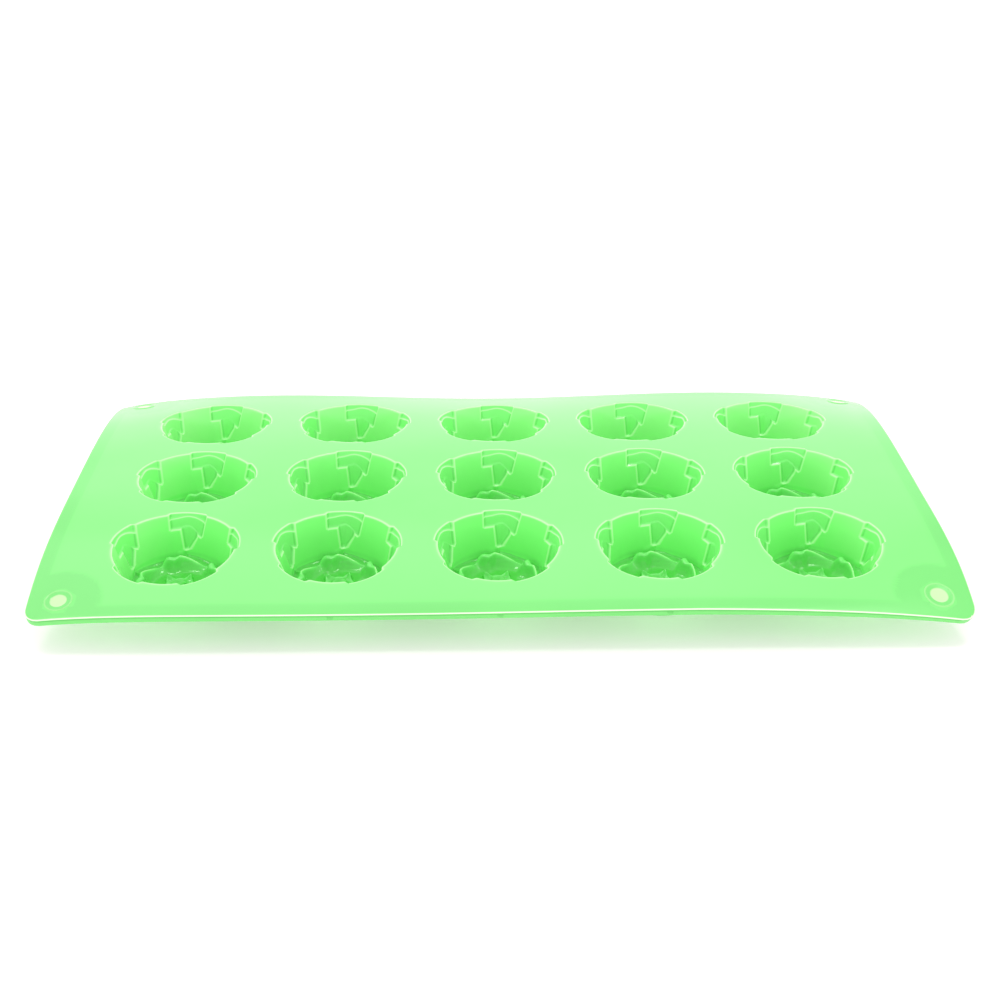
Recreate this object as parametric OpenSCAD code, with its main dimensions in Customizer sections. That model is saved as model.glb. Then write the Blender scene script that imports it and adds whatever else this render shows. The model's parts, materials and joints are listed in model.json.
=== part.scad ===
// Silicone soap mould: one bowed sheet that carries five columns of three rose cups.
// The sheet is named in five panels with four flex strips between them, where it bends.
// Origin: on the table, under the middle of the sheet. X is its length, Y runs front to
// back and Z is up. Every cup bottom is flat on the table, at Z = 0.

/* [Sheet] */
// Length of the sheet, end to end
mould_w = 214; // [210:1:218]
// Depth of the sheet, front to back
mould_d = 120; // [118:1:124]
// Height of the sheet's top above the table, in the middle
mould_h = 15.4; // [15.4:0.1:17]
// Thickness of the sheet
sheet_t = 1.4; // [1.2:0.1:1.8]
// How far the front edge drops below the middle
front_drop = 5.4; // [3:0.1:5.4]
// How far the back edge drops below the middle
back_drop = 3.3; // [2:0.1:4]
// Radius of the sheet's corners, seen from above
corner_r = 3.5; // [2:0.5:6]

/* [Edge bead and corner pads] */
// Width of the thicker band around the edge
bead_w = 3.5; // [2:0.5:4]
// How far the band and the pads stand below the sheet
bead_t = 0.8; // [0.4:0.1:1.2]
// Radius of the thicker pad in each corner
pad_r = 9.5; // [7:0.5:10]

/* [Corner marks] */
// Outer radius of a mark
mark_r = 3.15; // [2.5:0.05:4]
// Radius of the thin spot in a mark's centre
spot_r = 1.85; // [1:0.05:2.2]
// Thickness of the thin spot
spot_t = 0.5; // [0.4:0.1:1]
// Width of the fine ring around a mark
ring_w = 0.4; // [0.3:0.05:0.6]
// Height of the fine ring above the sheet
ring_h = 0.3; // [0.1:0.05:0.5]
// Distance from a mark's centre to the end of the sheet
mark_x = 7; // [5:0.5:9]
// Distance from a mark's centre to the front or back edge
mark_y = 5.5; // [4.5:0.5:7]

/* [Cups] */
// Distance between columns of cups
col_pitch = 38.4; // [37.5:0.1:39]
// Distance between rows of cups
row_pitch = 35.5; // [35:0.1:36.5]
// Outer radius of a cup where it meets the sheet
collar_r = 16.2; // [15.8:0.1:16.6]
// Height of the cup's straight collar
collar_h = 2.2; // [1.8:0.1:3]
// Outer radius of a cup at the table
foot_r = 13.4; // [13.2:0.1:15]
// Radius of the hollow at the rim, between leaves
rim_r = 14.4; // [14:0.1:14.8]
// Radius of the hollow at its floor
floor_r = 11.4; // [11:0.1:12]
// Depth of the hollow
hollow_depth = 12.2; // [11:0.1:12.2]

/* [Rose] */
// How far each of a leaf's three tiers is sunk into the wall, from the tip upwards
leaf_sink = [0.45, 0.65, 0.85]; // [0.2:0.05:1]
// Angle of the middle of the first leaf
leaf_angle = 85; // [0:1:359]
// Outer radius of the ring of outer petals
petal_r = 9.2; // [8.6:0.1:9.6]
// Height of the outer petals above the floor
petal_h = 2.6; // [1:0.1:2.8]
// Outer radius of the ring of inner petals
inner_petal_r = 5; // [4.4:0.1:5.4]
// Height of the inner petals above the floor
inner_petal_h = 1.6; // [0.6:0.1:2]
// Radius of the bud at the centre
bud_r = 1.7; // [1:0.1:2]

/* [Flex] */
// Width of the strip that bends between two panels
flex_w = 4; // [3:0.5:4.5]

/* [Hidden] */
$fn = 96;
cols = 5;
rows = 3;
row_names = ["front", "middle", "back"];
side_names = ["left", "right"];
end_names = ["front", "back"];
sheet_green = [0.60, 0.98, 0.58];
cup_green = [0.42, 0.90, 0.40];
mark_green = [0.82, 0.97, 0.70];
slices = 24;
leaves = 5;
leaf_pitch = 360 / leaves;
cut = 2;                        // how far a cutting solid runs past the face that it cuts
half_w = mould_w / 2;
half_d = mould_d / 2;
floor_lift = 0.02;              // overlap that welds the petals to the floor
ring_room = 1;                  // room left round a mark for the layer that it is cut from
// One leaf as it lies on the wall: across it, and down from the rim, with a step down each side
leaf_outline = [[-4.6, -cut], [4.5, -cut], [4.2, 4], [1.8, 4], [1.2, 8.9], [-0.1, 9.2],
                [-2, 6.1], [-3.2, 5.8]];
chevron_peaks = [hollow_depth, 3.3, 0.8];   // depth on the midrib at which each tier of a leaf ends
chevron_falls = [3.4, 1.3];     // how far a tier's end falls from its peak, to the right and left
chevron_reach = 8;              // half the width of a chevron, past both sides of the leaf
peak_offset = 0.3;
petal_foot = 3.8;                 // thickness of an outer petal at the floor
inner_petals = 3;
inner_petal_turn = 30;          // angle of the middle of the first inner petal
inner_petal_foot = 2.4;
petal_top = [1.3, 0.5];         // where a petal's flat top starts and ends, in from its outer face
petal_shift = [0.7, 0.4];       // how far the outer and inner petals stand off the cup's axis
petal_sweep = [78, 110];        // angle that an outer and an inner petal covers, lapping the next
bud_rise = 0.4;                 // how far the bud stands above the inner petals
bud_taper = 0.6;

// The sheet drops towards the front and the back edge by a cube law.
function drop(y) = (y < 0 ? front_drop : back_drop) * pow(abs(y) / half_d, 3);
function top_z(y) = mould_h - drop(y);
function tilt(y) = atan(-3 * drop(y) / y);
function row_tilt(y) = abs(y) < 0.001 ? 0 : tilt(y);
function slice_y(i) = -half_d + mould_d * i / slices;
function col_x(c) = (c - (cols + 1) / 2) * col_pitch;
function row_y(r) = (r - (rows - 1) / 2) * row_pitch;
function seam_x(s) = (s - cols / 2) * col_pitch;
function panel_x0(c) = c == 1 ? -half_w : seam_x(c - 1) + flex_w / 2;
function panel_x1(c) = c == cols ? half_w : seam_x(c) - flex_w / 2;

// A closed outline in Y and Z, drawn out along X from x0 to x1
module along_x(x0, x1, outline) {
    translate([x0, 0, 0]) rotate([90, 0, 90]) linear_extrude(x1 - x0) polygon(outline);
}

// A layer that follows the bow, from up above the sheet's top to down below it
module layer(x0, x1, up, down) {
    over = [for (i = [0:slices]) [slice_y(i), top_z(slice_y(i)) + up]];
    under = [for (i = [slices:-1:0]) [slice_y(i), top_z(slice_y(i)) - down]];
    along_x(x0, x1, concat(over, under));
}

// Everything between the table and the sheet's top
module under_top(x0, x1) {
    over = [for (i = [0:slices]) [slice_y(i), top_z(slice_y(i))]];
    along_x(x0, x1, concat(over, [[half_d, 0], [-half_d, 0]]));
}

module plan() {
    for (sx = [-1, 1], sy = [-1, 1])
        translate([sx * (half_w - corner_r), sy * (half_d - corner_r)]) circle(corner_r);
    square([mould_w - 2 * corner_r, mould_d], center = true);
    square([mould_w, mould_d - 2 * corner_r], center = true);
}

module thick_plan() {
    difference() {
        plan();
        square([mould_w - 2 * bead_w, mould_d - 2 * bead_w], center = true);
    }
    for (sx = [-1, 1], sy = [-1, 1])
        translate([sx * (half_w - mark_x), sy * (half_d - mark_y)]) circle(pad_r);
}

// The sheet between x0 and x1, with its bead, its pads and no holes
module sheet(x0, x1) {
    intersection() {
        union() {
            layer(x0, x1, 0, sheet_t);
            intersection() {
                layer(x0, x1, 0, sheet_t + bead_t);
                linear_extrude(mould_h + cut) thick_plan();
            }
        }
        linear_extrude(mould_h + cut) plan();
    }
}

module at_cup(c, r) {
    translate([col_x(c), row_y(r), top_z(row_y(r))])
        rotate([row_tilt(row_y(r)), 0, 0]) children();
}

module at_mark(e, s) {
    translate([(2 * s - 1) * (half_w - mark_x), (2 * e - 1) * (half_d - mark_y), 0]) children();
}

module panel(c) {
    color(sheet_green) difference() {
        sheet(panel_x0(c), panel_x1(c));
        for (r = [0:rows - 1])
            at_cup(c, r) translate([0, 0, -2 * cut]) cylinder(h = 4 * cut, r = collar_r);
        if (c == 1 || c == cols)
            for (e = [0, 1]) at_mark(e, c == 1 ? 0 : 1) cylinder(h = mould_h + cut, r = mark_r);
    }
}

module flex_strip(s) {
    color(sheet_green) sheet(seam_x(s) - flex_w / 2, seam_x(s) + flex_w / 2);
}

module leaf_prism() {
    rotate([90, 0, 90]) linear_extrude(collar_r)
        polygon([for (p = leaf_outline) [p[0], -p[1]]]);
}

// What lies above the chevron whose peak is at this depth on the midrib
module above_chevron(peak) {
    rotate([90, 0, 90]) linear_extrude(collar_r)
        polygon([[-chevron_reach, cut], [chevron_reach, cut],
                 [chevron_reach, -peak - chevron_falls[1]], [peak_offset, -peak],
                 [-chevron_reach, -peak - chevron_falls[0]]]);
}

module leaf_tier(sink) {
    cylinder(h = cut, r = rim_r + sink);
    translate([0, 0, -hollow_depth])
        cylinder(h = hollow_depth, r1 = floor_r + sink, r2 = rim_r + sink);
}

module leaf_pockets() {
    for (i = [0:leaves - 1]) rotate([0, 0, leaf_angle + i * leaf_pitch])
        for (t = [0:2]) intersection() {
            leaf_prism();
            above_chevron(chevron_peaks[t]);
            leaf_tier(leaf_sink[t]);
        }
}

// A raised petal: a short curved wall, set off centre so that it laps the next one
module petal(radius, foot, high, ring, turn) {
    rotate([0, 0, turn]) translate([petal_shift[ring], 0, -hollow_depth - floor_lift])
        rotate([0, 0, -petal_sweep[ring] / 2]) rotate_extrude(angle = petal_sweep[ring])
            polygon([[radius - foot, 0], [radius, 0], [radius - petal_top[1], high],
                     [radius - petal_top[0], high]]);
}

module petals() {
    for (i = [0:leaves - 1])
        petal(petal_r, petal_foot, petal_h, 0, leaf_angle + (i + 0.5) * leaf_pitch);
    for (i = [0:inner_petals - 1])
        petal(inner_petal_r, inner_petal_foot, inner_petal_h, 1,
              inner_petal_turn + i * 360 / inner_petals);
    translate([0, 0, -hollow_depth - floor_lift])
        cylinder(h = inner_petal_h + bud_rise, r1 = bud_r, r2 = bud_r - bud_taper);
}

module hollow() {
    difference() {
        union() {
            cylinder(h = cut, r = rim_r);
            translate([0, 0, -hollow_depth])
                cylinder(h = hollow_depth, r1 = floor_r, r2 = rim_r);
            leaf_pockets();
        }
        petals();
    }
}

module cup_outside() {
    translate([0, 0, -collar_h]) cylinder(h = collar_h + cut, r = collar_r);
    translate([0, 0, -mould_h - cut])
        cylinder(h = mould_h + cut - collar_h, r1 = foot_r, r2 = collar_r);
}

module cup(c, r) {
    color(cup_green) intersection() {
        at_cup(c, r) difference() {
            cup_outside();
            hollow();
        }
        under_top(col_x(c) - col_pitch / 2, col_x(c) + col_pitch / 2);
    }
}

// A round mark let into the corner pad: a fine raised ring and a thin spot
module corner_mark(e, s) {
    x = (2 * s - 1) * (half_w - mark_x);
    color(mark_green) difference() {
        union() {
            intersection() {
                layer(x - mark_r - ring_room, x + mark_r + ring_room, 0, sheet_t + bead_t);
                at_mark(e, s) cylinder(h = mould_h + cut, r = mark_r);
            }
            intersection() {
                layer(x - mark_r - ring_room, x + mark_r + ring_room, ring_h, spot_t);
                at_mark(e, s) difference() {
                    cylinder(h = mould_h + cut, r = mark_r);
                    cylinder(h = mould_h + cut, r = mark_r - ring_w);
                }
            }
        }
        intersection() {
            layer(x - mark_r, x + mark_r, -spot_t, sheet_t + bead_t + cut);
            at_mark(e, s) cylinder(h = mould_h + cut, r = spot_r);
        }
    }
}

for (c = [1:cols])
    panel(c);
for (s = [1:cols - 1])
    flex_strip(s);
for (r = [0:rows - 1], c = [1:cols])
    cup(c, r);
for (e = [0, 1], s = [0, 1])
    corner_mark(e, s);
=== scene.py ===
import json
import math

import bmesh
import bpy
import numpy as np
from mathutils import Matrix, Vector

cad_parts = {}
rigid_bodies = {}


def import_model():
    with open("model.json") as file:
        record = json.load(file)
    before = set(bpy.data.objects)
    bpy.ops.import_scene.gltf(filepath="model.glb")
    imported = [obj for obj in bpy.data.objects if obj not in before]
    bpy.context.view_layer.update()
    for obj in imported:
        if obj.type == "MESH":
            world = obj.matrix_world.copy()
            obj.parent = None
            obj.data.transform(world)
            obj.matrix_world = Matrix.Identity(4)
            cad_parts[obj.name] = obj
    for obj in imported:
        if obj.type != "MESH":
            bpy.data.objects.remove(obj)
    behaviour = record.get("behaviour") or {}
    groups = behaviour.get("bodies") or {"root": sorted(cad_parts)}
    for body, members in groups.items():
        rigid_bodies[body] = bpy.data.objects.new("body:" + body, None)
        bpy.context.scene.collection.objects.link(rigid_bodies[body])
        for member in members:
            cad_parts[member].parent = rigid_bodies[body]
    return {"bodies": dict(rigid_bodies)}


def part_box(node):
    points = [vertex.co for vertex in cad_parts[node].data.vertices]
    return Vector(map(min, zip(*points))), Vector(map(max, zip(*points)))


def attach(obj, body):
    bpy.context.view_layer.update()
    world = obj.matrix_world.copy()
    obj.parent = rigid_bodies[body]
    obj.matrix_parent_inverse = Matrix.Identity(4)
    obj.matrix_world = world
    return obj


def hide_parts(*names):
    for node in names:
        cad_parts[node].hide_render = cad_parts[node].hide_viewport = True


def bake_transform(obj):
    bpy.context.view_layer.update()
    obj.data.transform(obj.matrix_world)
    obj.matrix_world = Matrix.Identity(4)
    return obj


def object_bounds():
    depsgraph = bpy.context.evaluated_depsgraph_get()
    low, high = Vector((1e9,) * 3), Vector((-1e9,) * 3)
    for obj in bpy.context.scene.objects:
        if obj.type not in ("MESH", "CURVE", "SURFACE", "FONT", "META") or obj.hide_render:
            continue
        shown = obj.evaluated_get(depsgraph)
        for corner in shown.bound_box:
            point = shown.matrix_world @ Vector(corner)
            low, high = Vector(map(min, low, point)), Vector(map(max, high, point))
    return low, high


mm = 0.001
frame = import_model()
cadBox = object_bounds()

# Sizes below are in millimetres. Places come from the frame.
low, high = cadBox
mouldWidth = (high.x - low.x) / mm
mouldDepth = (high.y - low.y) / mm
mouldTop = high.z / mm
halfWidth, halfDepth = mouldWidth / 2, mouldDepth / 2

columnNames = sorted(frame["bodies"])
rowNames = ["front", "middle", "back"]


def nodeCentre(name):
    a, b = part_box(name)
    return (a + b) / 2 / mm


rowPitch = 35.5
sheetThickness = 1.4
rowY = [-rowPitch, 0.0, rowPitch]
columnX = [nodeCentre(f"cup_middle_{c}").x for c in range(1, 6)]
columnPitch = columnX[1] - columnX[0]
collarLow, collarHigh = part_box("cup_middle_3")
collarRadius = (collarHigh.x - collarLow.x) / 2 / mm
print("frame loaded, mould", round(mouldWidth), "x", round(mouldDepth), "mm")


# Small helpers

def line(a, b, t):
    return a + (b - a) * t


def ramp(x, xs, ys):
    return float(np.interp(x, xs, ys))


def rise(value, start, end):
    # from 0 at start to 1 at end
    return np.clip((value - start) / (end - start), 0, 1)


def within(distance, border, blur):
    # 1 inside the border and 0 outside it, with a soft change between
    return np.clip((border - distance) / blur + 0.5, 0, 1)


def deselectAll():
    if bpy.context.object and bpy.context.object.mode != "OBJECT":
        bpy.ops.object.mode_set(mode="OBJECT")
    bpy.ops.object.select_all(action="DESELECT")


def choose(piece):
    deselectAll()
    piece.select_set(True)
    bpy.context.view_layer.objects.active = piece


def startEditing(piece, action):
    choose(piece)
    bpy.ops.object.mode_set(mode="EDIT")
    bpy.ops.mesh.select_all(action=action)


def stopEditing():
    bpy.ops.object.mode_set(mode="OBJECT")


def selectEdges(piece, wanted):
    startEditing(piece, "DESELECT")
    bpy.ops.mesh.select_mode(type="EDGE")
    mesh = bmesh.from_edit_mesh(piece.data)
    for e in mesh.edges:
        e.select = bool(wanted(e))
    bmesh.update_edit_mesh(piece.data)


def points(piece):
    co = np.zeros(len(piece.data.vertices) * 3)
    piece.data.vertices.foreach_get("co", co)
    return co.reshape(-1, 3) / mm


def setPoints(piece, co):
    piece.data.vertices.foreach_set("co", (co * mm).ravel())
    piece.data.update()


def keepOnPoints(piece, name, values):
    # a number on each point, which the materials read
    attribute = piece.data.attributes.new(name, "FLOAT", "POINT")
    attribute.data.foreach_set("value", values.astype(np.float32))


def outwardNormals(piece):
    startEditing(piece, "SELECT")
    bpy.ops.mesh.normals_make_consistent(inside=False)
    stopEditing()


def finishShading(piece, degrees):
    choose(piece)
    bpy.ops.object.shade_smooth_by_angle(angle=math.radians(degrees))


# The bow of the sheet, and the small waves and drooping corners that a soft sheet has
bow = {
    "frontDrop": 5.4,
    "backDrop": 3.3,
    "frontWave": 0.5,
    "frontWaveLength": 130,   # half a wave
    "frontCornerDroop": 1.9,
    "frontDip": 0.6,          # how far the front lip hangs below the bow in the middle
    "frontLeftRise": 0.75,    # how much less it hangs towards the left
    "frontLeftReach": 98,
    "frontRightDroop": 1.5,   # further fall of the front lip towards the right
    "frontRightStart": 45,
    "frontRightReach": 62,
    "backWave": 0.75,
    "backWaveLength": 62,
    "backCornerDroop": 2.4,
    "cornerPower": 8,
}


def sheetTop(x, y):
    # height of the sheet's top at a place in plan
    front = np.clip(-y / halfDepth, 0, 1.2)
    back = np.clip(y / halfDepth, 0, 1.2)
    end = np.clip(np.abs(x) / halfWidth, 0, 1.1) ** bow["cornerPower"]
    z = mouldTop - bow["frontDrop"] * front**3 - bow["backDrop"] * back**3
    wave = bow["frontWave"] * np.sin(math.pi * x / bow["frontWaveLength"])
    z = z + front**4 * (wave - bow["frontCornerDroop"] * end)
    leftwards = np.clip(-x / bow["frontLeftReach"], 0, 1.1)
    rightwards = np.clip((x - bow["frontRightStart"]) / bow["frontRightReach"], 0, 1.1)
    lip = bow["frontLeftRise"] * leftwards**1.6 - bow["frontRightDroop"] * rightwards**1.2
    z = z + front**8 * (lip - bow["frontDip"])
    wave = bow["backWave"] * np.cos(math.pi * x / bow["backWaveLength"])
    return z - back**4 * (wave + bow["backCornerDroop"] * end)


def rowTilt(y):
    step = 0.5
    return math.atan((sheetTop(0.0, y + step) - sheetTop(0.0, y - step)) / (2 * step))


# A soft sheet isn't quite square: its front corners reach a little further out, clear of the cups
stretch = {
    "right": 1.8,
    "left": 0.6,
    "front": 0.9,
    "endStart": 94,           # how far from the middle each pull sets in
    "sideStart": 10,
    "lipStart": 52.5,
    "lipRightStart": 45,
}


def pull(piece):
    co = points(piece)
    x, y = co[:, 0].copy(), co[:, 1].copy()
    right, left = (rise(side * x, stretch["endStart"], halfWidth) for side in (1, -1))
    outward = stretch["right"] * right - stretch["left"] * left
    co[:, 0] = x + rise(-y, stretch["sideStart"], halfDepth) ** 1.5 * outward
    forward = stretch["front"] * rise(x, stretch["lipRightStart"], halfWidth) ** 1.5
    co[:, 1] = y - rise(-y, stretch["lipStart"], halfDepth) * forward
    setPoints(piece, co)


# The cup: a lathe of rings, whose wall carries five leaves and whose floor carries the rose

cup = {
    "columns": 160,           # round the cup, the same as round the sheet's holes
    "leaves": 5,
    "leafAngle": 85,          # middle of the first leaf
    "leafTurn": 54,           # columns from the X axis round to the first sector's start
    "rimRadius": 14.4,
    "taper": 0.25,            # how fast the wall closes in, mm for each mm down
    "wallTop": 0.32,          # depth where the rounded rim ends
    "sink": [0.85, 0.62, 0.42],   # of a leaf's top, middle and tip
    "tipSink": 0.12,          # how much deeper one side of the tip is
    "fold": 0.12,             # how much deeper the leaf is along its midrib
    "riser": 0.27,            # half the width of a leaf's stepped edge
    "ledge": 0.13,            # half the height of a leaf's steps down the wall
    "shoulder": 0.22,         # ring and column spacing that keeps the steps crisp
    "tipDepth": 9.1,
    "bowDepth": 8,            # how far down the hollow still follows the sheet's curve
    "grooveTop": 10.3,        # the wall ends in a scalloped groove
    "grooveDip": 1.2,
    "valley": 12.45,          # deepest places, round the petals and round the bud
    "valleyInner": 12.0,
    "bud": 2.0,               # radius of the bud, which winds in as it rises
    "budWinding": 0.5,
    "vein": 0.32,             # height of the vein on the wall, and across the groove
    "veinAcross": 0.55,
    "wallFoot": 13.4,         # the outside, above its rounded foot
    "footRound": 2.4,
    "footShare": 0.84,        # how far down the rounding starts
}
# Painted light and shade on the cups' colour: below 0 paler, above 0 darker
paintedLightAndShade = {
    "wall": -0.3,             # painted light: walls pass some light
    "leaf": 0.22,             # painted shade: the sunk leaves look a little deeper
    "litEdge": -0.8,          # painted highlight outside and painted shade inside a leaf's upright edges
    "dimEdge": 0.5,
    "backPaintedLight": 0.2,          # painted light: how much more the back row's walls pass
    "backFrom": -12,
    "backTo": 36,
    "endPaintedLight": 0.25,          # and the outermost walls at both ends, also painted light
    "endFrom": 80,
    "endTo": 94,
}
sectorColumns = cup["columns"] // cup["leaves"]
columnStep = 360 / cup["columns"]
sectorAngle = 360 / cup["leaves"]
uniformAngle = (cup["leafTurn"] - np.arange(cup["columns"])) * columnStep

# A leaf's outlines: depths, and the angles from the leaf's middle at those depths
leafOutlines = [
    ([0, 4], [18.1, 18.6]),         # wide, left
    ([4, 9], [7.6, 5.4]),           # narrow, left
    ([0, 4, 9], [0, 0, 2.8]),       # midrib
    ([6, 9.1], [-8.8, 0.2]),        # narrow, right
    ([0, 5.8], [-18.5, -14.2]),     # wide, right
]


def leafColumnAngles(depth, radius):
    # the angles of one sector's columns, packed close on each side of the leaf's edges: l and r are its
    # left and right, 1 wide and 2 narrow, e is half a stepped edge and f the spacing beside it
    e, f = math.degrees(cup["riser"] / radius), math.degrees(cup["shoulder"] / radius)
    half = sectorAngle / 2
    l1, l2, rib, r2, r1 = (ramp(depth, *outline) for outline in leafOutlines)
    inner = min(f, 0.3 * (l2 - rib - e), 0.3 * (rib - r2 - e))
    angles = [line(half, l1 + e + f, i / 4) for i in range(5)] + [l1 + e, l1 - e, l1 - e - f]
    angles += [line(l1, l2, 0.6), l2 + e + f, l2 + e, l2 - e, l2 - e - inner]
    angles += [line(l2 - e - inner, rib, 0.5), rib, line(rib, r2 + e + inner, 0.5)]
    angles += [r2 + e + inner, r2 + e, r2 - e, line(r2 - e, r1 + e, 0.3), line(r2 - e, r1 + e, 0.6)]
    angles += [r1 + e + min(f, 0.3 * (r2 - r1)), r1 + e, r1 - e]
    return angles + [line(r1 - e - f, -half, i / 8) for i in range(8)]


# A sector's columns lie in bands: 0 beside the leaf, 1 and 4 in its wide sides, 2 and 3 in its tip
leafBand = [0] * 6 + [1] * 5 + [2] * 3 + [3] * 4 + [4] * 5 + [0] * 9
leafBands, sideBands, tipBands = (1, 2, 3, 4), (1, 4), (2, 3)
ribColumn = 14
topSink, middleSink, lowSink = cup["sink"]
sinkTable = [
    [0, topSink, topSink, topSink, topSink],
    [0, middleSink, middleSink, middleSink, middleSink],
    [0, 0, lowSink, lowSink + cup["tipSink"], 0],
    [0, 0, 0, 0, 0],
]
# Depths of the two chevrons, at the sector's left end, the wide edge, the narrow edge, the rib,
# the narrow edge, the wide edge and the right end
chevronColumns = [0, 6, 10.5, 14, 17.5, 22, 32]
upperChevron = [1.8, 1.5, 1.15, 0.8, 1.25, 2.1, 1.8]
lowerChevron = [4.6, 4.05, 3.95, 3.3, 5.4, 5.9, 4.6]


def wallRows(i):
    # depth and tier of each wall ring at sector column i: a and b are the chevrons, e is half a step
    # and f the spacing beside it
    e, f, tip = cup["ledge"], cup["shoulder"], cup["tipDepth"]
    a = ramp(i, chevronColumns, upperChevron)
    b = ramp(i, chevronColumns, lowerChevron)
    turn = abs(math.sin(math.pi * (i / sectorColumns - 0.5)))
    groove = cup["grooveTop"] + cup["grooveDip"] * turn**0.75
    rows = [(cup["wallTop"], 0), (line(cup["wallTop"], a, 0.5), 0), (a - e, 0), (a + e, 1), (a + e + f, 1)]
    rows += [(line(a + e + f, b - e - f, t), 1) for t in (0.3, 0.65, 1)]
    rows += [(b - e, 1), (b + e, 2), (b + e + f, 2)]
    rows += [(line(b + e + f, tip - e - f, t), 2) for t in (0.2, 0.4, 0.6, 0.8, 1)]
    rows += [(tip - e, 2), (tip + e, 3), (tip + e + f, 3)]
    rows += [(line(tip + e + f, groove, t), 3) for t in (0.5, 0.85, 1)]
    return rows


# Crest lines of the petals on the floor. An outer petal starts at a broad rounded lump that curls in,
# and sinks away to its other end as a thin ridge: angle along it, outer and inner radius, depth.
outerCrest = [
    (0, 10.1, 9.5, 10.4), (2.5, 10.2, 9.2, 9.6), (6, 10.1, 8.8, 9.15), (10, 9.9, 8.4, 9.1),
    (14, 9.7, 8.2, 9.25), (18, 9.6, 8.4, 9.35), (21, 9.65, 8.8, 9.2), (25, 9.6, 9.2, 9.0),
    (35, 9.5, 9.15, 9.5), (48, 9.4, 9.05, 10.35), (61, 9.35, 9.0, 11.1), (68, 9.7, 9.2, 11.3),
    (72, 10.1, 9.5, 10.4),
]
faceRadius = [(0, 8.6), (6, 8.1), (14, 7.7), (20, 8.1), (26, 8.6), (61, 8.5), (66, 8.4), (72, 8.6)]
# Painted highlight along each crest (below 0) and slight painted shade (above 0), by angle along the petal
crestShade = [
    (0, -0.3), (4, -0.1), (10, -0.05), (18, 0.1), (22, -0.3), (26, -1.0), (50, -0.8), (64, 0.1),
    (72, -0.3),
]
# The same for an inner petal, with one radius
innerCrest = [
    (0, 4.9, 11.2), (4, 4.8, 10.7), (10, 4.4, 10.9), (17, 4.0, 11.5), (26, 3.7, 11.85),
    (58, 3.7, 11.85), (66, 4.3, 11.6), (72, 4.9, 11.2),
]
outerStart, innerStart = 119.5, 136.0
veinAngle = 97.5              # where a fine vein runs from each leaf's tip to the petals
veinWidth = 2.3


def along(angle, start, table, column=1):
    place = (start - angle) % table[-1][0]
    return ramp(place, [p[0] for p in table], [p[column] for p in table])


def veinLift(angle, centre):
    away = (angle - centre + sectorAngle / 2) % sectorAngle - sectorAngle / 2
    return math.exp(-((away / veinWidth) ** 2))


def floorRows(angle, wallEnd, groove):
    # radius and depth of each floor ring, from the groove in to the centre: ro, ri and d2 are the
    # outer petal's crest, r1 and d1 the inner one's
    ro, ri, d2 = (along(angle, outerStart, outerCrest, column) for column in (1, 2, 3))
    face = along(angle, outerStart, faceRadius)
    r1, d1 = (along(angle, innerStart, innerCrest, column) for column in (1, 2))
    valley, inner = cup["valley"], cup["valleyInner"]
    spiral = (angle % 360) / 360
    bud = cup["bud"] - cup["budWinding"] * spiral
    foot = groove + 0.25 - cup["veinAcross"] * veinLift(angle, veinAngle)
    outer = min(ro + 0.35, wallEnd - 0.5)
    # out of the groove and over the outer petal's crest
    rows = [(wallEnd - 0.2, foot - 0.08), (line(wallEnd - 0.2, outer, 0.55), foot)]
    rows += [(outer, line(foot, d2, 0.15)), (line(outer, ro, 0.6), line(foot, d2, 0.65))]
    rows += [(ro - 0.05, d2 + 0.14), (line(ro, ri, 0.5), d2), (ri, d2 + 0.14), (ri - 0.15, d2 + 0.42)]
    # down its face, into the valley and over the inner petal
    rows += [(line(ri - 0.15, face, 0.6), line(d2, valley, 0.38)), (face - 0.35, line(d2, valley, 0.64))]
    rows += [(face - 1.0, line(d2, valley, 0.87)), (face - 1.9, valley - 0.03), (r1 + 0.75, valley)]
    rows += [(r1 + 0.4, valley - 0.15), (r1 + 0.15, line(valley, d1, 0.75)), (r1 - 0.05, d1)]
    rows += [(r1 - 0.35, d1 + 0.12), (r1 - 0.75, line(d1, inner, 0.7))]
    # up the bud and onto its top
    rows += [(bud + 0.55, inner), (bud + 0.15, 11.4), (bud - 0.15, 10.7 + 0.4 * spiral)]
    rows += [(bud - 0.55, 10.85 + 0.3 * spiral), (0.3, 11.3)]
    return rows


rimRings = 5
wallRings = len(wallRows(0))
floorRings = len(floorRows(0.0, cup["rimRadius"], cup["grooveTop"]))
centreRings = 4               # the bud's own rings, whose columns stand evenly


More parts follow.
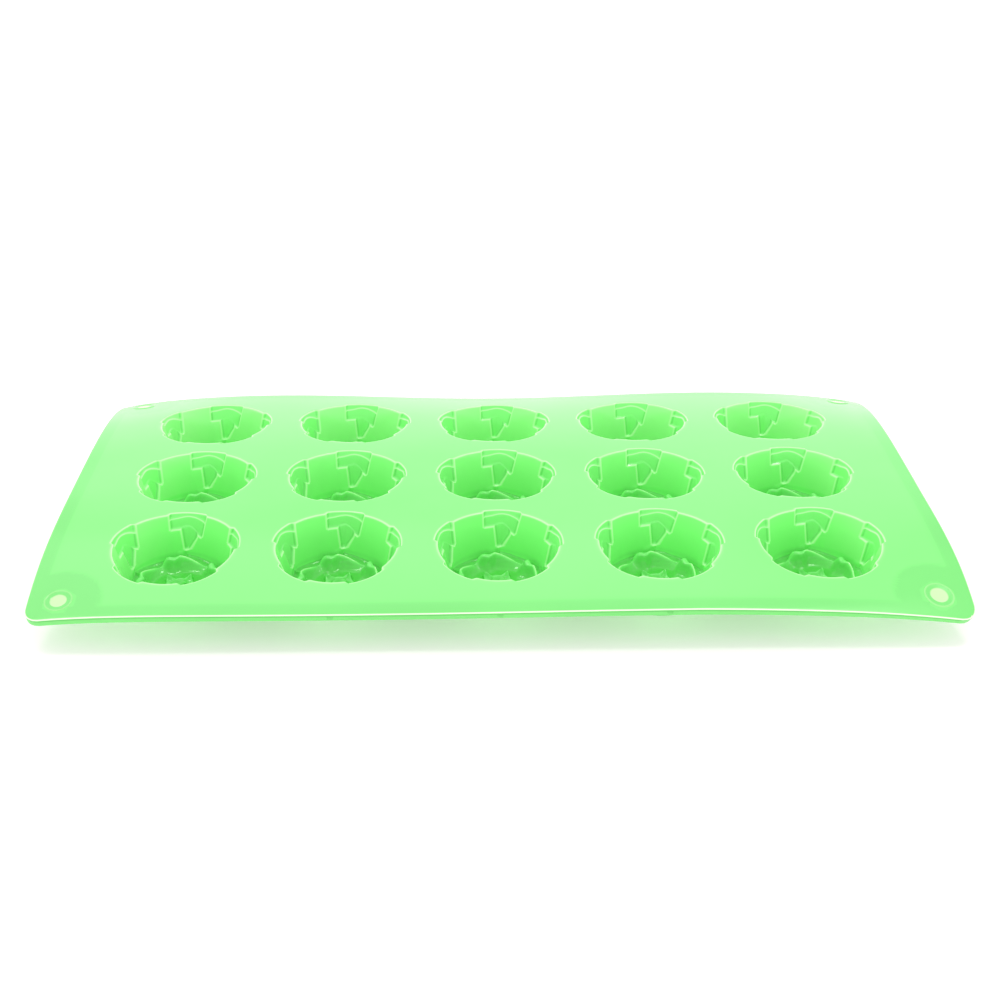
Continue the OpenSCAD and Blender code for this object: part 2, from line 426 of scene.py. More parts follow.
def hollowColumn(column):
    # radius, angle and depth of one column of the hollow's vertices, from the collar to the centre
    i = column % sectorColumns
    middle = cup["leafAngle"] - sectorAngle * (column // sectorColumns)
    uniform = uniformAngle[column]
    rib = 1 - min(1.0, abs(i - ribColumn) / 8)

    def angleAt(depth):
        return middle + leafColumnAngles(depth, cup["rimRadius"] - cup["taper"] * depth)[i]

    def sinkAt(tier):
        s = sinkTable[tier][leafBand[i]]
        return s + (cup["fold"] * rib if s else 0)

    top = angleAt(0)
    rim = cup["rimRadius"] + sinkAt(0)
    rings = [
        (collarRadius, uniform, 0),
        (line(collarRadius, rim, 0.4), line(uniform, top, 0.5), 0),
        (rim + 0.32, line(uniform, top, 0.9), 0),
        (rim + 0.1, top, 0.035),
        (rim + 0.015, top, 0.14),
    ]
    for depth, tier in wallRows(i):
        radius = cup["rimRadius"] - cup["taper"] * depth + sinkAt(tier)
        angle = angleAt(depth)
        if depth > cup["tipDepth"]:
            vein = middle + ramp(depth, [cup["tipDepth"], 10.6], [2.8, veinAngle - cup["leafAngle"]])
            radius -= cup["vein"] * veinLift(angle, vein)
        rings.append((radius, angle, depth))
    wallEnd, endAngle, groove = rings[-1]
    for k in range(floorRings):
        angle = line(endAngle, uniform, min(1, k / (floorRings - centreRings)))
        radius, depth = floorRows(angle, wallEnd, groove)[k]
        rings.append((radius, angle, depth))
    return rings


def ringTable():
    # place of every vertex of the hollow: rings x columns x (x, y, depth)
    shape = np.array([hollowColumn(column) for column in range(cup["columns"])]).transpose(1, 0, 2)
    radius, angle, depth = shape[..., 0], np.radians(shape[..., 1]), shape[..., 2]
    return np.stack([radius * np.cos(angle), radius * np.sin(angle), depth], -1)


def outsideRings():
    # the outside, from the collar's top edge down to the foot and in to the middle: radius, and share
    # of the way from the sheet's underside (0) to the table (1)
    foot, bend, share = cup["wallFoot"], cup["footRound"], cup["footShare"]
    neck = collarRadius - 0.78
    rings = [(collarRadius, 0.0), (collarRadius - 0.35, 0.0), (collarRadius - 0.62, 0.035), (neck, 0.09)]
    rings += [(line(neck, foot, t), line(0.09, share, t)) for t in (0.33, 0.67, 1.0)]
    for degrees in (22, 44, 66, 90):
        t = math.radians(degrees)
        rings.append((foot - bend * (1 - math.cos(t)), share + (1 - share) * math.sin(t)))
    return rings + [(6.0, 1.0), (1.0, 1.0)]


def lathe(name, ringCount, radius):
    # a tube of rings drawn out of one circle, a millimetre apart until they are put in place
    deselectAll()
    bpy.ops.mesh.primitive_circle_add(vertices=cup["columns"], radius=radius * mm)
    piece = bpy.context.object
    piece.name = name
    startEditing(piece, "SELECT")
    for step in range(ringCount - 1):
        bpy.ops.mesh.extrude_edges_move(TRANSFORM_OT_translate={"value": (0, 0, -mm)})
    stopEditing()
    return piece


def ringAndColumn(piece):
    # ring and column of each vertex of a fresh lathe
    co = points(piece)
    ring = np.rint(-co[:, 2]).astype(int)
    angle = np.degrees(np.arctan2(co[:, 1], co[:, 0]))
    column = np.rint(cup["leafTurn"] - angle / columnStep).astype(int) % cup["columns"]
    return ring, column


def placeCup(table, outside, x0, y0):
    # the cup's rings in place: the hollow tilts with the sheet and the foot stays flat on the table
    tilt = rowTilt(y0)
    z0 = sheetTop(x0, y0)
    x, y, depth = table[..., 0], table[..., 1], table[..., 2]
    fade = np.clip(1 - depth / cup["bowDepth"], 0, 1) ** 2
    plane = z0 + y * math.tan(tilt)
    z = plane - depth * math.cos(tilt) + fade * (sheetTop(x0 + x, y0 + y) - plane)
    hollow = np.stack([x0 + x, y0 + y + depth * math.sin(tilt), z], -1)
    angle = np.radians(uniformAngle)
    shell = []
    for radius, share in outside:
        px, py = x0 + radius * np.cos(angle), y0 + radius * np.sin(angle)
        under = sheetTop(px, py) - sheetThickness
        shell.append(np.stack([px, py + share * under * math.tan(tilt), under * (1 - share)], -1))
    return np.concatenate([np.array(shell)[::-1], hollow])


def creaseCollar(piece, ring, seamRings):
    # keeps the collar's outer edges sharp, where they meet the sheet
    def onSeam(e):
        a, b = (v.index for v in e.verts)
        return ring[a] == ring[b] and ring[a] in seamRings

    selectEdges(piece, onSeam)
    bpy.ops.transform.edge_crease(value=1.0)
    stopEditing()


wideEdges = ([5, 23], [6, 22])      # columns just outside and just inside the leaf's edges
tipEdges = ([10, 18], [11, 17])


def stepShade(tier):
    # a painted highlight and a painted dim line along the leaf's upright edges, and painted shade on its
    # sunk faces
    shade = np.zeros(sectorColumns)
    outer, inner = [wideEdges, wideEdges, tipEdges, ([], [])][tier]
    shade[outer], shade[inner] = paintedLightAndShade["litEdge"], paintedLightAndShade["dimEdge"]
    sunk = [leafBands, leafBands, tipBands, ()][tier]
    return shade + paintedLightAndShade["leaf"] * np.array([band in sunk for band in leafBand])


# Painted dim and lit lines, shade and highlight, along each chevron and along the leaf's tip: wall ring,
# shade and bands
ledgeShades = [
    (2, 0.2, leafBands), (3, -0.6, leafBands), (8, 0.35, sideBands), (9, -0.8, sideBands),
    (16, 0.35, tipBands), (17, -0.8, tipBands),
]
# Painted highlight round the rim, and painted shade across the floor's petals and bud, one value for each
# ring
rimShade = [0.0, -0.05, -0.5, -1.1, -0.9]
petalShade = [0.6, 0.6, 0.4, 0.2, 0.0, 0.0, 0.2, 0.35, 0.5, 0.65, 0.8, 0.95, 1.0, 1.0, 0.8, 0.3, 0.3, 0.6]
budShade = [0.8] * 5
crestShares = [(3, 0.5), (4, 0.9), (5, 1.0), (6, 0.8), (7, 0.3)]    # floor rings that the crest's painted highlight lightens, and how far


def shadeTable(table, outside):
    # painted light and shade: down to -1 as painted highlights on the rim and the edges and as painted
    # light through the walls, 0 on the flat rim, up to 1 as painted shade deep in the floor
    shade = np.zeros((len(table), cup["columns"]))
    floor = rimRings + wallRings
    shade[:rimRings] = np.array(rimShade)[:, None]
    for k, (depth, tier) in enumerate(wallRows(0)):
        shade[rimRings + k] = paintedLightAndShade["wall"] + np.tile(stepShade(tier), cup["leaves"])
    for k, value, bands in ledgeShades:
        on = np.tile([band in bands for band in leafBand], cup["leaves"])
        shade[rimRings + k] = np.where(on, paintedLightAndShade["wall"] + value, shade[rimRings + k])
    # painted shade down into the groove at the wall's foot
    shade[floor - 3] += 0.15
    shade[floor - 1] += 0.7
    floorShade = np.array(petalShade + budShade)
    shade[floor:] = floorShade[:, None]
    angle = np.degrees(np.arctan2(table[..., 1], table[..., 0]))
    for k, share in crestShares:
        crest = [along(a, outerStart, crestShade) for a in angle[floor + k]]
        shade[floor + k] = line(floorShade[k], np.array(crest), share)
    return np.concatenate([np.zeros((len(outside), cup["columns"])), shade])


def closeEnds(piece):
    startEditing(piece, "SELECT")
    bpy.ops.mesh.fill_holes(sides=0)
    stopEditing()


def copyCup(name, x0, y0):
    piece = pattern.copy()
    piece.data = pattern.data.copy()
    piece.name = piece.data.name = name
    bpy.context.collection.objects.link(piece)
    setPoints(piece, placeCup(table, outside, x0, y0)[ring, column])
    # painted light: the back row's walls and the outermost walls at both ends are made paler, as if light
    # came through them
    outward = rise(np.abs(points(piece)[:, 0]), paintedLightAndShade["endFrom"], paintedLightAndShade["endTo"])
    backward = rise(y0, paintedLightAndShade["backFrom"], paintedLightAndShade["backTo"])
    glow = paintedLightAndShade["backPaintedLight"] * backward + paintedLightAndShade["endPaintedLight"] * outward
    keepOnPoints(piece, "shade", np.clip(shades - walls * glow, -1, 1))
    choose(piece)
    smooth = piece.modifiers.new("round", "SUBSURF")
    smooth.levels = smooth.render_levels = 1
    bpy.ops.object.modifier_apply(modifier="round")
    closeEnds(piece)
    outwardNormals(piece)
    finishShading(piece, 60)
    return piece


table, outside = ringTable(), outsideRings()
pattern = lathe("cupPattern", len(outside) + len(table), collarRadius)
ring, column = ringAndColumn(pattern)
setPoints(pattern, placeCup(table, outside, columnX[2], rowY[1])[ring, column])
shades = shadeTable(table, outside)[ring, column]
wallStart = len(outside) + rimRings
walls = (ring >= wallStart) & (ring < wallStart + wallRings)
creaseCollar(pattern, ring, (len(outside) - 1, len(outside)))
print("cup pattern", len(pattern.data.vertices), "points")

cups = {}
for r, rowName in enumerate(rowNames):
    for c in range(5):
        cups[(r, c)] = copyCup(f"rose_cup_{rowName}_{c + 1}", columnX[c], rowY[r])
bpy.data.objects.remove(pattern)
print("cups placed", len(cups))


# The sheet: a cell round each cup, margins drawn out from the outer cells, then four spans

sheet = {
    "cellRings": 10,
    "cornerColumn": 19,       # the column whose ray ends in the cell's corner
    "beadWidth": 3.5,
    "beadThickness": 1.9,
    "cornerRadius": 3.5,
    "edgeRound": 0.38,
    "seamDepth": 0.14,        # parting line round the outer edge
    "sideBand": 0.35,         # how near the outline a point counts as on the side
    "padRadius": 9.5,
    "frontSteps": [1.2, 2.2, 3.1, 3.35, 4.2, 5.3, 6.2, 6.75],
    "endSteps": [1.5, 3.0, 4.5, 6.0, 7.35, 7.65, 8.6, 9.6, 10.5, 11.0],
}
mark = {
    "radius": 3.15,
    "spot": 1.85,
    "steps": 48,
    "fromEnd": 7.0,
    "fromEdge": 5.5,
    "fit": 0.02,              # how far the mark overlaps its hole, so no light shows between
    "drillLength": 12,
}


def cellPoint(angle, index, share):
    # point on a ray from a cup's centre, from the collar (0) to the cell's border (1)
    c, s = math.cos(angle), math.sin(angle)
    half = (columnPitch / 2, rowPitch / 2)
    reach = min(half[0] / max(abs(c), 1e-9), half[1] / max(abs(s), 1e-9))
    border = (c * reach, s * reach)
    halfTurn = cup["columns"] // 2
    if min(index % halfTurn, halfTurn - index % halfTurn) == sheet["cornerColumn"]:
        border = (math.copysign(half[0], c), math.copysign(half[1], s))
    return line(collarRadius * c, border[0], share), line(collarRadius * s, border[1], share)


def buildCell():
    piece = lathe("cell", sheet["cellRings"] + 1, collarRadius)
    co = points(piece)
    for point in co:
        angle = math.atan2(point[1], point[0])
        index = round(math.degrees(angle) / columnStep) % cup["columns"]
        share = np.rint(-point[2]) / sheet["cellRings"]
        point[:2] = cellPoint(index * math.radians(columnStep), index, share)
        point[2] = 0
    setPoints(piece, co)
    return piece


weld = 0.01                   # points nearer than this are one


def joinAll(pieces, name):
    choose(pieces[0])
    for p in pieces:
        p.select_set(True)
    bpy.ops.object.join()
    pieces[0].name = name
    return pieces[0]


def drawOut(piece, axis, edge, steps):
    # draws the border edges that lie at edge along axis outwards, step by step
    def onBorder(e):
        return e.is_boundary and all(abs(v.co[axis] - edge * mm) < weld * mm for v in e.verts)

    selectEdges(piece, onBorder)
    done = 0.0
    for step in steps:
        move = [0, 0, 0]
        move[axis] = math.copysign((step - done) * mm, edge)
        bpy.ops.mesh.extrude_edges_move(TRANSFORM_OT_translate={"value": move})
        done = step
    stopEditing()


def buildSheet():
    cell = buildCell()
    cells = []
    for y in rowY:
        for x in columnX:
            copy = cell.copy()
            copy.data = cell.data.copy()
            copy.data.transform(Matrix.Translation((x * mm, y * mm, 0)))
            bpy.context.collection.objects.link(copy)
            cells.append(copy)
    bpy.data.objects.remove(cell)
    piece = joinAll(cells, "sheet")
    startEditing(piece, "SELECT")
    bpy.ops.mesh.remove_doubles(threshold=weld * mm)
    stopEditing()
    reachX, reachY = columnX[4] + columnPitch / 2, rowY[2] + rowPitch / 2
    widthScale = (halfWidth - reachX) / sheet["endSteps"][-1]
    depthScale = (halfDepth - reachY) / sheet["frontSteps"][-1]
    for side in (-1, 1):
        drawOut(piece, 1, side * reachY, [s * depthScale for s in sheet["frontSteps"]])
    for side in (-1, 1):
        drawOut(piece, 0, side * reachX, [s * widthScale for s in sheet["endSteps"]])
    return piece


def cutSpans(piece):
    # parts the sheet along the middles of the three inner columns
    borders = [-halfWidth - 1, columnX[1], columnX[2], columnX[3], halfWidth + 1]
    spans = []
    for s in range(4):
        span = piece.copy()
        span.data = piece.data.copy()
        span.name = span.data.name = f"sheet_span_{s + 1}"
        bpy.context.collection.objects.link(span)
        startEditing(span, "DESELECT")
        bpy.ops.mesh.select_mode(type="FACE")
        mesh = bmesh.from_edit_mesh(span.data)
        for f in mesh.faces:
            f.select = not borders[s] < f.calc_center_median().x / mm < borders[s + 1]
        bmesh.update_edit_mesh(span.data)
        bpy.ops.mesh.delete(type="FACE")
        stopEditing()
        spans.append(span)
    bpy.data.objects.remove(piece)
    return spans


# Distances in plan, for an array of points

def edgeDistance(co):
    # in from the nearest straight side
    return np.minimum(halfWidth - np.abs(co[:, 0]), halfDepth - np.abs(co[:, 1]))


def cornerOffset(co):
    # past the centre of the corner's rounding, along the sheet and across it
    r = sheet["cornerRadius"]
    return np.abs(co[:, 0]) - (halfWidth - r), np.abs(co[:, 1]) - (halfDepth - r)


def outsideDistance(co):
    # in from the outline, rounded corners included
    r = sheet["cornerRadius"]
    x, y = cornerOffset(co)
    corner = r - np.hypot(np.maximum(x, 0), np.maximum(y, 0))
    return np.where((x > 0) & (y > 0), corner, r - np.maximum(x, y))


def markDistance(co):
    x = np.abs(co[:, 0]) - (halfWidth - mark["fromEnd"])
    y = np.abs(co[:, 1]) - (halfDepth - mark["fromEdge"])
    return np.hypot(x, y)


def roundCorners(co):
    # pulls the square corners of the plan onto arcs
    r = sheet["cornerRadius"]
    x, y = cornerOffset(co)
    inside = (x > 0) & (y > 0)
    x, y = x[inside], y[inside]
    scale = np.maximum(x, y) / np.hypot(x, y)
    co[inside, 0] = np.sign(co[inside, 0]) * (halfWidth - r + x * scale)
    co[inside, 1] = np.sign(co[inside, 1]) * (halfDepth - r + y * scale)


def levelInEdge(co):
    # 0 at the sheet's top, 1 at the bead's underside
    return (sheetTop(co[:, 0], co[:, 1]) - co[:, 2]) / sheet["beadThickness"]


def upwards(span):
    outwardNormals(span)
    if sum(p.normal.z for p in span.data.polygons) < 0:
        span.data.flip_normals()


def thicken(span):
    # lifts the plan onto the bow and gives it its thickness, more under the bead and the pads
    co = points(span)
    thick = (edgeDistance(co) < sheet["beadWidth"]) | (markDistance(co) < sheet["padRadius"])
    roundCorners(co)
    co[:, 2] = sheetTop(co[:, 0], co[:, 1])
    setPoints(span, co)
    group = span.vertex_groups.new(name="thick")
    thin = sheetThickness / sheet["beadThickness"]
    for v in range(len(co)):
        group.add([v], 1.0 if thick[v] else thin, "REPLACE")
    solid = span.modifiers.new("thickness", "SOLIDIFY")
    solid.thickness = sheet["beadThickness"] * mm
    solid.offset = -1
    solid.vertex_group = "thick"
    choose(span)
    bpy.ops.object.modifier_apply(modifier="thickness")


def isSideEdge(e):
    # an upright edge on the outer side, not one where spans meet
    a, b = (v.co / mm for v in e.verts)
    upright = abs(a.z - b.z) > 0.8 * (a - b).length
    place = np.array([[a.x, a.y]])
    return upright and outsideDistance(place)[0] < sheet["sideBand"] and e.calc_face_angle(0) < 0.6


def pressSeam(span):
    # cuts loops round the outer side and presses the middle one in, as the mould's parting line
    selectEdges(span, isSideEdge)
    bpy.ops.mesh.subdivide(number_cuts=3)
    stopEditing()
    co = points(span)
    pressed = (outsideDistance(co) < sheet["sideBand"]) & (np.abs(levelInEdge(co) - 0.5) < 0.1)
    scale = 1 - sheet["seamDepth"] / np.maximum(np.abs(co[:, :2]), 1)
    side = np.stack([halfWidth - np.abs(co[:, 0]), halfDepth - np.abs(co[:, 1])], -1)
    near = side < sheet["cornerRadius"]
    co[:, :2] = np.where(pressed[:, None] & near, co[:, :2] * scale, co[:, :2])
    setPoints(span, co)


def isOuterCorner(e):
    # an edge along the outline, above or below, but not where the sheet meets its neighbours
    faces = e.link_faces
    if len(faces) != 2 or faces[0].normal.angle(faces[1].normal, 0) < math.radians(50):
        return False
    middle = (e.verts[0].co + e.verts[1].co) / 2 / mm
    place = np.array([[middle.x, middle.y]])
    x, y = (offset[0] for offset in cornerOffset(place))
    if x > 0 and y > 0:
        return np.hypot(x, y) > sheet["cornerRadius"] - 0.2
    return edgeDistance(place)[0] < 0.03


def roundEdges(span):
    selectEdges(span, isOuterCorner)
    bpy.ops.mesh.bevel(offset=sheet["edgeRound"] * mm, segments=3, affect="EDGES")
    stopEditing()


def recordPaintedShade(span):
    # painted shade: 0.5 where the silicone is thick, 1 down the upper part of the outer side and 0.6 round
    # the parting line; painted highlight, -1 and -0.5, on the rounded top and bottom edges
    co = points(span)
    bead = within(edgeDistance(co), sheet["beadWidth"], 0.5)
    pad = within(markDistance(co), sheet["padRadius"], 0.8)
    values = 0.5 * np.maximum(bead, pad)
    level, out = levelInEdge(co), outsideDistance(co)
    side = out < 0.3
    for below, value in ((0.2, 1.0), (0.4, 0.6), (0.65, 0.0)):
        values[side & (level > below)] = value
    rounded = out < 0.8 * sheet["edgeRound"]
    values[rounded & (level < 0.2)] = -1
    values[rounded & (level > 0.8)] = -0.5
    # the sheet's painted shade and highlights, kept under the name thickness
    keepOnPoints(span, "thickness", values)


spans = cutSpans(buildSheet())
for span in spans:
    upwards(span)
    thicken(span)
    outwardNormals(span)
    pressSeam(span)
    roundEdges(span)
    recordPaintedShade(span)
    finishShading(span, 40)
print("sheet spans", [len(s.data.polygons) for s in spans])


# Corner marks: a fine raised ring round a thin spot, as a profile of radius and height over the sheet

markProfile = [
    (0.0, -0.5), (1.75, -0.5), (mark["spot"], -0.62), (mark["spot"], -1.75), (2.0, -1.9), (3.1, -1.9),
    (mark["radius"], -1.8), (mark["radius"], 0.02), (3.11, 0.09), (3.02, 0.14), (2.9, 0.14), (2.8, 0.09),
    (2.72, 0.02), (2.6, 0.0), (2.0, 0.0), (1.9, -0.03), (1.83, -0.1), (1.7, -0.12), (0.0, -0.1),
]


def buildMark(name, x0, y0):
    # the profile spun about the mark's axis and laid on the sheet
    deselectAll()
    bpy.ops.mesh.primitive_plane_add(size=mm, location=(0, 0, 0))
    piece = bpy.context.object
    piece.name = piece.data.name = name
    startEditing(piece, "SELECT")
    bpy.ops.mesh.select_mode(type="VERT")
    bpy.ops.mesh.merge(type="CENTER")
    bpy.ops.transform.translate(value=(markProfile[0][0] * mm, 0, markProfile[0][1] * mm))
    for (r0, z0), (r1, z1) in zip(markProfile, markProfile[1:]):
        move = ((r1 - r0) * mm, 0, (z1 - z0) * mm)
        bpy.ops.mesh.extrude_vertices_move(TRANSFORM_OT_translate={"value": move})
    bpy.ops.mesh.select_all(action="SELECT")
    bpy.ops.mesh.spin(steps=mark["steps"], angle=2 * math.pi, center=(0, 0, 0), axis=(0, 0, 1))
    bpy.ops.mesh.select_all(action="SELECT")
    bpy.ops.mesh.remove_doubles(threshold=0.005 * mm)
    stopEditing()
    co = points(piece)
    out = np.hypot(co[:, 0], co[:, 1])
    # painted light on the thin spot, as if let through it, and a painted highlight on the raised ring
    keepOnPoints(piece, "spot", within(out, mark["spot"], 0.2) + 0.3 * rise(out, 2.65, 2.85))
    co += (x0, y0, 0)
    co[:, 2] += sheetTop(co[:, 0], co[:, 1])
    setPoints(piece, co)
    outwardNormals(piece)
    finishShading(piece, 50)
    return piece


def cutMarkHole(span, x0, y0):
    deselectAll()
    bpy.ops.mesh.primitive_cylinder_add(
        vertices=mark["steps"], radius=(mark["radius"] - mark["fit"]) * mm, depth=mark["drillLength"] * mm,
        location=(x0 * mm, y0 * mm, sheetTop(x0, y0) * mm))
    cutter = bpy.context.object
    choose(span)
    drill = span.modifiers.new("hole", "BOOLEAN")
    drill.object, drill.operation, drill.solver = cutter, "DIFFERENCE", "EXACT"
    bpy.ops.object.modifier_apply(modifier="hole")
    bpy.data.objects.remove(cutter)


marks = {}
for endName, sy in (("front", -1), ("back", 1)):
    for sideName, sx in (("left", -1), ("right", 1)):
        x0, y0 = sx * (halfWidth - mark["fromEnd"]), sy * (halfDepth - mark["fromEdge"])
        cutMarkHole(spans[0] if sx < 0 else spans[3], x0, y0)
        marks[(endName, sideName)] = buildMark(f"mark_{endName}_{sideName}", x0, y0)
for piece in spans + list(marks.values()):
    pull(piece)
for span in (spans[0], spans[3]):
    finishShading(span, 40)
print("corner marks", len(marks))


# Materials: one moulded silicone, its colour shifted by the painted light and shade kept on each mesh

silicone = {
    "green": (0.225, 0.82, 0.205, 1),
    # painted shade where the silicone is thick
    "thickShadeGreen": (0.195, 0.715, 0.18, 1),
    # painted shade down the sheet's outer side, round the parting line
    "seamShadeGreen": (0.11, 0.52, 0.10, 1),
    # painted shade deep in the cups' floors
    "deepShadeGreen": (0.095, 0.60, 0.075, 1),
    # painted light let through the cups' walls
    "wallPaintedLightGreen": (0.25, 0.93, 0.22, 1),
    # painted highlight on the cups' rims and edges
    "edgeHighlightGreen": (0.56, 1.0, 0.46, 1),
    # painted highlight on the sheet's rounded edges
    "lipHighlightGreen": (0.85, 1.0, 0.74, 1),
    # painted light let through the corner marks' thin spots
    "spotPaintedLightGreen": (0.56, 0.90, 0.42, 1),
    "ior": 1.41,
    "roughness": (0.17, 0.27),
    "polish": 0.08,           # how much smoother the hollows are than the satin top
    "cloud": 0.05,            # how far the colour drifts
    "cloudScale": 28.0,
    "swellScale": 60.0,
    "swellHeight": 0.0003,    # metres
    "grainScale": 5200.0,
    "grainHeight": 0.00002,
}


def addNode(nodes, kind, **values):
    node = nodes.new(kind)
    for key, value in values.items():
        if key in node.inputs:
            node.inputs[key].default_value = value
        else:
            setattr(node, key, value)
    return node


def siliconeMaterial(name, attribute, palette, polish=0.0):
    # colour follows a value of painted light and shade kept on the mesh, from -1 to 1, over a soft cloud,
    # and the surface has a slow swell and a fine grain
    material = bpy.data.materials.new(name)
    material.use_nodes = True
    nodes, links = material.node_tree.nodes, material.node_tree.links
    shader = nodes["Principled BSDF"]
    shader.inputs["IOR"].default_value = silicone["ior"]
    place = nodes.new("ShaderNodeTexCoord").outputs["Object"]

    def noise(scale, detail):
        texture = addNode(nodes, "ShaderNodeTexNoise", Scale=scale, Detail=detail)
        links.new(place, texture.inputs["Vector"])
        return texture.outputs["Fac"]

    def mapped(source, fromRange, toRange):
        node = addNode(nodes, "ShaderNodeMapRange", **{
            "From Min": fromRange[0], "From Max": fromRange[1], "To Min": toRange[0], "To Max": toRange[1]})
        links.new(source, node.inputs["Value"])
        return node.outputs["Result"]

    usual = (0.2, 0.8)        # where most of a noise's values lie
    cloud = noise(silicone["cloudScale"], 3.0)
    grain = noise(silicone["grainScale"], 2.0)
    swell = noise(silicone["swellScale"], 0.0)
    where = addNode(nodes, "ShaderNodeAttribute", attribute_name=attribute).outputs["Fac"]
    colours = nodes.new("ShaderNodeValToRGB")
    stops = colours.color_ramp.elements
    for index, (level, colour) in enumerate(palette):
        stop = stops[index] if index < 2 else stops.new(1.0)
        stop.position, stop.color = (level + 1) / 2, colour
    links.new(mapped(where, (-1.0, 1.0), (0.0, 1.0)), colours.inputs["Fac"])
    tint = nodes.new("ShaderNodeHueSaturation")
    drift = mapped(cloud, usual, (1 - silicone["cloud"], 1 + silicone["cloud"]))
    links.new(drift, tint.inputs["Value"])
    links.new(colours.outputs["Color"], tint.inputs["Color"])
    links.new(tint.outputs["Color"], shader.inputs["Base Color"])
    away = addNode(nodes, "ShaderNodeMath", operation="ABSOLUTE")
    links.new(where, away.inputs[0])
    gloss = addNode(nodes, "ShaderNodeMath", operation="SUBTRACT")
    links.new(mapped(cloud, usual, silicone["roughness"]), gloss.inputs[0])
    links.new(mapped(away.outputs["Value"], (0.02, 0.25), (0.0, polish)), gloss.inputs[1])
    links.new(gloss.outputs["Value"], shader.inputs["Roughness"])
    soft = addNode(nodes, "ShaderNodeBump", Strength=0.3, Distance=silicone["swellHeight"])
    fine = addNode(nodes, "ShaderNodeBump", Strength=0.25, Distance=silicone["grainHeight"])
    links.new(swell, soft.inputs["Height"])
    links.new(grain, fine.inputs["Height"])
    links.new(soft.outputs["Normal"], fine.inputs["Normal"])
    links.new(fine.outputs["Normal"], shader.inputs["Normal"])
    return material


# The palettes put painted highlights and painted light below the plain green and painted shade above it;
# the marks' runs from the pad's painted shade to the thin spot's painted light
sheetMaterial = siliconeMaterial("sheet silicone", "thickness", [
    (-1, silicone["lipHighlightGreen"]), (0, silicone["green"]), (0.5, silicone["thickShadeGreen"]),
    (1, silicone["seamShadeGreen"])])
cupMaterial = siliconeMaterial("cup silicone", "shade", [
    (-1, silicone["edgeHighlightGreen"]), (-0.3, silicone["wallPaintedLightGreen"]), (0, silicone["green"]),
    (1, silicone["deepShadeGreen"])], silicone["polish"])
markMaterial = siliconeMaterial("corner mark silicone", "spot", [
    (0, silicone["thickShadeGreen"]), (1, silicone["spotPaintedLightGreen"])])
print("silicone materials made")


# Finishes, and the bodies that the pieces ride on

def dress(piece, material):
    piece.data.materials.clear()
    piece.data.materials.append(material)


for (r, c), piece in cups.items():
    dress(piece, cupMaterial)
    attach(piece, columnNames[c])
    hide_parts(f"cup_{rowNames[r]}_{c + 1}")

for (endName, sideName), piece in marks.items():
    dress(piece, markMaterial)
    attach(piece, columnNames[0 if sideName == "left" else 4])
    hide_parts(f"corner_mark_{endName}_{sideName}")

for s, piece in enumerate(spans):
    dress(piece, sheetMaterial)
    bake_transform(piece)
    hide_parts(f"panel_{s + 1}", f"flex_strip_{s + 1}")
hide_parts("panel_5")


# Camera, floor and light

camera = {
    "lens": 57.845,
    "down": 26.379,           # degrees below the horizon
    "aside": 1.175,           # degrees to the right of straight back
    "roll": 0.05,
    "place": (-6.53, -372.84, 177.49),   # from the middle of the sheet's top
}
floorLook = {
    "colour": (0.80, 0.70, 0.78, 1),
    "roughness": 0.6,
    "glow": (0.92, 0.94, 0.86, 1),       # light let through the silicone
    "glowStrength": 0.36,
}
studio = {
    # brightness round the mould, from the horizon (0) up to straight overhead (1)
    "sky": [(0.0, 1.0), (0.36, 0.76), (0.45, 0.40), (0.55, 0.34), (0.9, 0.42)],
    "strength": 2.1,
    # name, place in metres, size and power of each lamp
    "lamps": [
        ("back softbox", (-0.25, 0.8, 1.1), (1.2, 0.8), 3.0),
        ("top left softbox", (-0.45, 0.05, 1.1), (0.2, 0.2), 1.6),
        ("top right softbox", (0.35, 0.1, 1.1), (0.2, 0.2), 2.0),
    ],
}


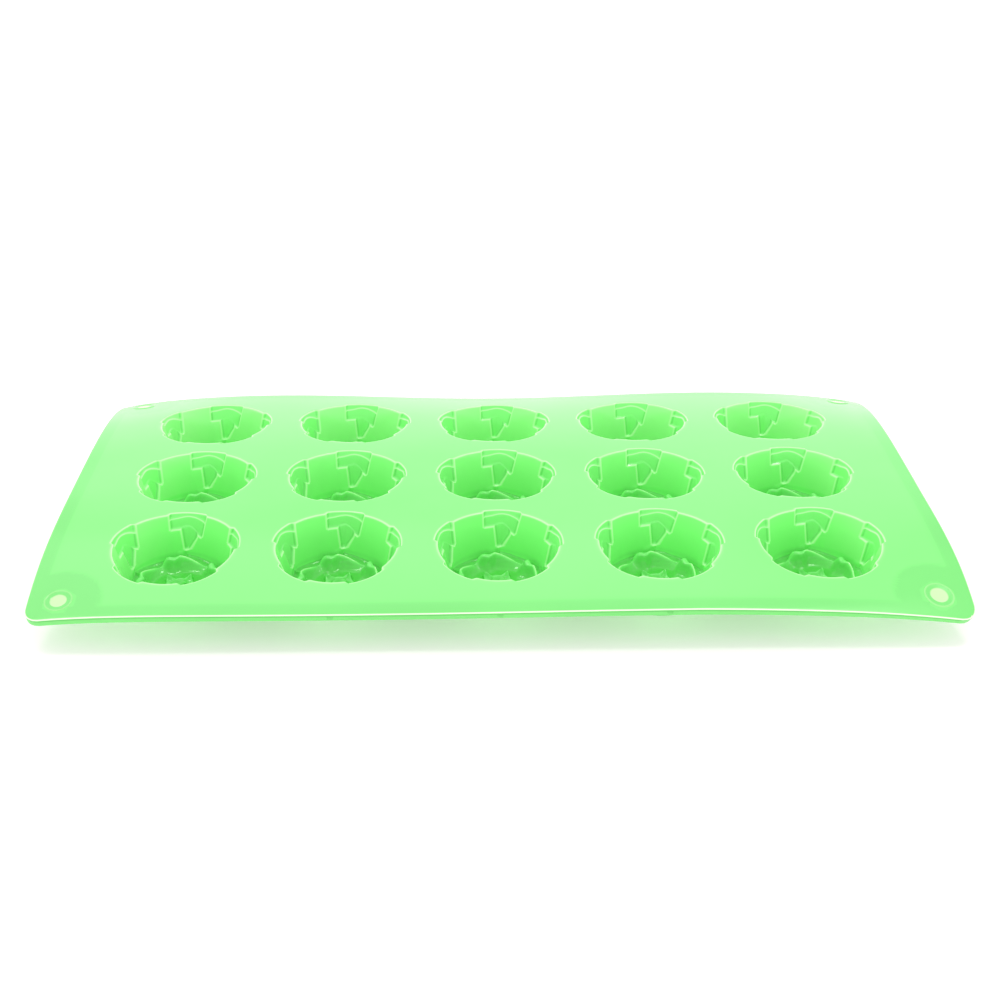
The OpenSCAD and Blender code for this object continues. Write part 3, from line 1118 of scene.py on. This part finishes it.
def makeCamera():
    data = bpy.data.cameras.new("camera")
    data.lens, data.sensor_width = camera["lens"], 36
    data.clip_start, data.clip_end = 0.01, 20
    view = bpy.data.objects.new("camera", data)
    bpy.context.collection.objects.link(view)
    turn = Matrix.Rotation(math.radians(-camera["aside"]), 4, "Z")
    turn = turn @ Matrix.Rotation(math.radians(90 - camera["down"]), 4, "X")
    turn = turn @ Matrix.Rotation(math.radians(camera["roll"]), 4, "Z")
    top = Vector((0, 0, mouldTop))
    view.matrix_world = Matrix.Translation((top + Vector(camera["place"])) * mm) @ turn
    bpy.context.scene.camera = view


def makeFloor():
    deselectAll()
    bpy.ops.mesh.primitive_plane_add(size=6, location=(0, 0, 0))
    floor = bpy.context.object
    floor.name = "floor"
    material = bpy.data.materials.new("white table")
    material.use_nodes = True
    shader = material.node_tree.nodes["Principled BSDF"]
    shader.inputs["Base Color"].default_value = floorLook["colour"]
    shader.inputs["Roughness"].default_value = floorLook["roughness"]
    shader.inputs["Emission Color"].default_value = floorLook["glow"]
    shader.inputs["Emission Strength"].default_value = floorLook["glowStrength"]
    floor.data.materials.append(material)


def makeSky():
    world = bpy.data.worlds.new("studio")
    world.use_nodes = True
    nodes, links = world.node_tree.nodes, world.node_tree.links
    place = nodes.new("ShaderNodeTexCoord")
    split = nodes.new("ShaderNodeSeparateXYZ")
    brightness = nodes.new("ShaderNodeValToRGB")
    links.new(place.outputs["Generated"], split.inputs["Vector"])
    links.new(split.outputs["Z"], brightness.inputs["Fac"])
    stops = brightness.color_ramp.elements
    for index, (height, bright) in enumerate(studio["sky"]):
        stop = stops[index] if index < 2 else stops.new(1.0)
        stop.position, stop.color = height, (bright, bright, bright, 1)
    links.new(brightness.outputs["Color"], nodes["Background"].inputs["Color"])
    nodes["Background"].inputs["Strength"].default_value = studio["strength"]
    bpy.context.scene.world = world


def hangLamp(name, place, size, power):
    # a rectangular softbox that points at the middle of the mould
    data = bpy.data.lights.new(name, "AREA")
    data.shape, data.size, data.size_y, data.energy = "RECTANGLE", size[0], size[1], power
    lamp = bpy.data.objects.new(name, data)
    bpy.context.collection.objects.link(lamp)
    facing = (-Vector(place)).to_track_quat("-Z", "Y").to_matrix().to_4x4()
    lamp.matrix_world = Matrix.Translation(place) @ facing


makeCamera()
makeFloor()
makeSky()
for lamp in studio["lamps"]:
    hangLamp(*lamp)
bpy.context.scene.view_settings.view_transform = "Standard"
print("camera, floor and", len(studio["lamps"]), "lamps set up")
